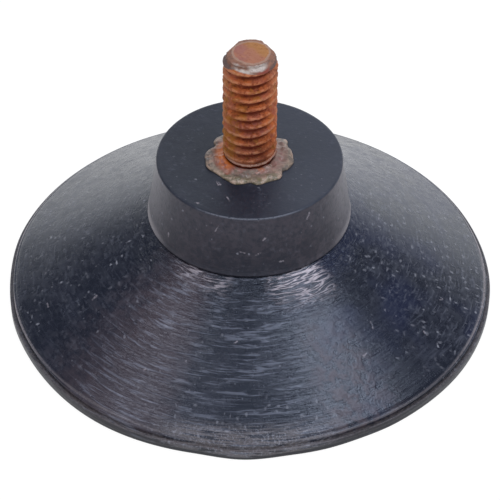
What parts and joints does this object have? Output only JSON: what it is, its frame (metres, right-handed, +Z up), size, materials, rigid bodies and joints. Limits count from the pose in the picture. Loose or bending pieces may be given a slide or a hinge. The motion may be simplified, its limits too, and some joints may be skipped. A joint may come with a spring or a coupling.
{
  "type": "suction cup foot",
  "caption": "Black rubber suction cup foot with a rusted, threaded steel stud standing up from its collar.",
  "frame": {"origin": "centre of the rim's resting plane, on the stud's axis", "axes": "+Z up along the stud, away from the surface the cup grips; +X and +Y lie in the resting plane"},
  "size_m": [0.059, 0.059, 0.0356],
  "materials": {
    "black_rubber": "moulded black rubber, semi-gloss, finely scuffed in rings",
    "rusted_steel": "plain steel, rusted orange-brown in the thread and rubbed grey-tan on the end",
    "set_adhesive": "hardened bonding adhesive, beige-grey, rust stained beside the stud"
  },
  "bodies": {
    "root": {"suction_cup": "black_rubber", "threaded_stud": "rusted_steel", "adhesive_bead": "set_adhesive"}
  },
  "joints": []
}
